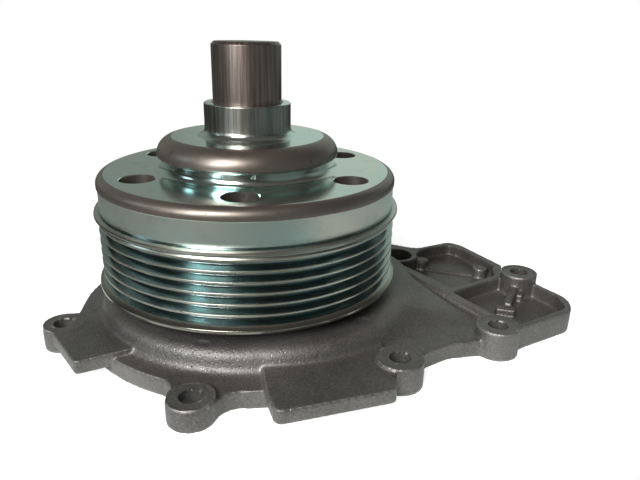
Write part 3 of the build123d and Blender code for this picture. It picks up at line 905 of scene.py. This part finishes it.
def build_world():
    """A dim room with a few lighter walls, which the camera sees as plain white."""
    world = bpy.data.worlds.new("studio")
    world.use_nodes = True
    room = Nodes(world.node_tree, "Background")
    x, y, z = room.parts(room.node("ShaderNodeTexCoord"))

    def towards(azimuth, worn_edge_and_painted_highlight, full):
        """1 in the middle of a patch of wall that faces an azimuth in degrees."""
        facing = x * cos(radians(azimuth)) + y * sin(radians(azimuth))
        return facing.step(worn_edge_and_painted_highlight, full)

    back_wall = room.mix(x.step(-0.18, 0.1), rgb((0.24, 0.28, 0.25)), rgb((0.5, 0.59, 0.53)))
    walls = room.mix(y.step(0.35, 0.75) * z.step(-0.06, 0.08), rgb((0.045, 0.041, 0.034)), back_wall)
    front_glow = towards(-113.0, 0.95, 0.985) * z.step(0.15, 0.08) * 0.6
    walls = room.mix(front_glow, walls, rgb((0.5, 0.38, 0.33)))
    walls = room.mix(towards(14.0, 0.86, 0.97) * 0.9, walls, rgb((0.2, 0.25, 0.24)))
    walls = room.mix(towards(-42.0, 0.8, 0.97), walls, rgb((0.13, 0.16, 0.155)))
    walls_and_ceiling = room.mix(z.step(0.35, 0.9), walls, rgb((0.11, 0.1, 0.094)))
    table = room.mix(z.step(-0.3, -0.6), rgb((0.33, 0.36, 0.33)), rgb((0.14, 0.14, 0.12)))
    bright_end = towards(-10.0, 0.5, 0.95) * z.step(-0.45, -0.37)
    table = room.mix(bright_end, table, rgb((0.62, 0.7, 0.65)))
    colour = room.mix(z.step(-0.32, -0.25), table, walls_and_ceiling)
    room.feed(Color=room.mix(room.camera_ray(), colour, rgb((1.0, 1.0, 1.0))))
    bpy.context.scene.world = world


FLOOR_CORNERS = ((-0.11, -0.097), (0.17, -0.097), (0.2, 0.2), (-0.16, 0.2))
FLOOR_GAP = 0.0002
# in reflections the floor is even inside this ellipse; beyond it, it is dark at the left, light at the right
GLOW_X, GLOW_Y = 0.022, -0.005
GLOW_HALF_LENGTH, GLOW_HALF_WIDTH = 0.118, 0.088
LIGHT_TARGET = (0.0, 0.0, 0.04)


def build_stage(colours):
    """Pale floor, soft lights and camera."""
    mesh = bpy.data.meshes.new("studio_floor")
    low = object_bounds()[0][2] - FLOOR_GAP
    mesh.from_pydata([(x, y, low) for x, y in FLOOR_CORNERS], [], [(0, 1, 2, 3)])
    floor = add_object("studio_floor", mesh)
    shader = Shader("studio_floor_paper", Base_Color=rgb(colours.floor), Roughness=0.9,
                    Emission_Strength=1.0)
    place = shader.place()
    grain = shader.noise(place, 400.0, 2.0)
    paper = shader.mix(grain, rgb(colours.floor, 0.985), rgb(colours.floor))
    x, y, _ = shader.parts(place)
    across, along = (x - GLOW_X) / GLOW_HALF_LENGTH, (y - GLOW_Y) / GLOW_HALF_WIDTH
    far = (across * across + along * along).step(0.8, 1.25)
    seen = shader.camera_ray()
    beyond = shader.mix(x.step(0.02, 0.1), rgb((0.07, 0.08, 0.07)), rgb((0.3, 0.34, 0.32)))
    glow = shader.mix(far, rgb((0.25, 0.31, 0.29)), beyond)
    glow = shader.mix(seen, glow, rgb((0.8, 0.8, 0.8)))
    dim = shader.mix(far * (1.0 - seen), paper, rgb(colours.floor, 0.22))
    mesh.materials.append(shader.feed(Base_Color=dim, Emission_Color=glow,
                                      Normal=shader.bump(grain, 0.00002, 0.2)))
    floor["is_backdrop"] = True
    build_world()
    for name, azimuth, reach, height, width, tall, watts, colour in SOFTBOXES:
        angle = radians(azimuth)
        place = (reach * cos(angle), reach * sin(angle), height)
        add_softbox(name, place, LIGHT_TARGET, width, tall, watts, colour)
    add_camera()
    bpy.context.scene.view_settings.view_transform = "Standard"


# ---------------------------------------------------------------- operators
class PUMP_OT_casting(bpy.types.Operator):
    """Build the housing's cast skin"""

    bl_idname = "pump.casting"
    bl_label = "Housing casting"

    def execute(self, context):
        build_casting(context.scene.pump_sizes, context.scene.pump_colours)
        return {"FINISHED"}


class PUMP_OT_pulley(bpy.types.Operator):
    """Build the turned and drilled pulley"""

    bl_idname = "pump.pulley"
    bl_label = "Pulley"

    def execute(self, context):
        build_pulley(context.scene.pump_sizes, context.scene.pump_colours)
        return {"FINISHED"}


class PUMP_OT_spindle(bpy.types.Operator):
    """Build the ground spindle"""

    bl_idname = "pump.spindle"
    bl_label = "Spindle"

    def execute(self, context):
        build_spindle()
        return {"FINISHED"}


class PUMP_OT_inner(bpy.types.Operator):
    """Give the bearing, seal, gasket and impeller their finishes"""

    bl_idname = "pump.inner"
    bl_label = "Inner pieces"

    def execute(self, context):
        dress_inner_pieces()
        return {"FINISHED"}


class PUMP_OT_stage(bpy.types.Operator):
    """Add the floor, lights and camera"""

    bl_idname = "pump.stage"
    bl_label = "Stage"

    def execute(self, context):
        build_stage(context.scene.pump_colours)
        return {"FINISHED"}


class PUMP_PT_panel(bpy.types.Panel):
    """Lists the pump's pieces, sizes and colours"""

    bl_idname = "PUMP_PT_panel"
    bl_label = "Water pump"
    bl_space_type = "VIEW_3D"
    bl_region_type = "UI"
    bl_category = "Water pump"

    def draw(self, context):
        for group in (context.scene.pump_sizes, context.scene.pump_colours):
            for name in group.__annotations__:
                self.layout.prop(group, name)
        for operator in OPERATORS:
            self.layout.operator(operator.bl_idname)


OPERATORS = (PUMP_OT_casting, PUMP_OT_pulley, PUMP_OT_spindle, PUMP_OT_inner, PUMP_OT_stage)
CLASSES = (PumpSizes, PumpColours, *OPERATORS, PUMP_PT_panel)


def register():
    for item in CLASSES:
        bpy.utils.register_class(item)
    bpy.types.Scene.pump_sizes = bpy.props.PointerProperty(type=PumpSizes)
    bpy.types.Scene.pump_colours = bpy.props.PointerProperty(type=PumpColours)


def unregister():
    del bpy.types.Scene.pump_colours
    del bpy.types.Scene.pump_sizes
    for item in reversed(CLASSES):
        bpy.utils.unregister_class(item)


def main():
    register()
    bpy.ops.pump.stage()
    bpy.ops.pump.casting()
    bpy.ops.pump.pulley()
    bpy.ops.pump.spindle()
    bpy.ops.pump.inner()


if __name__ == "__main__":
    main()
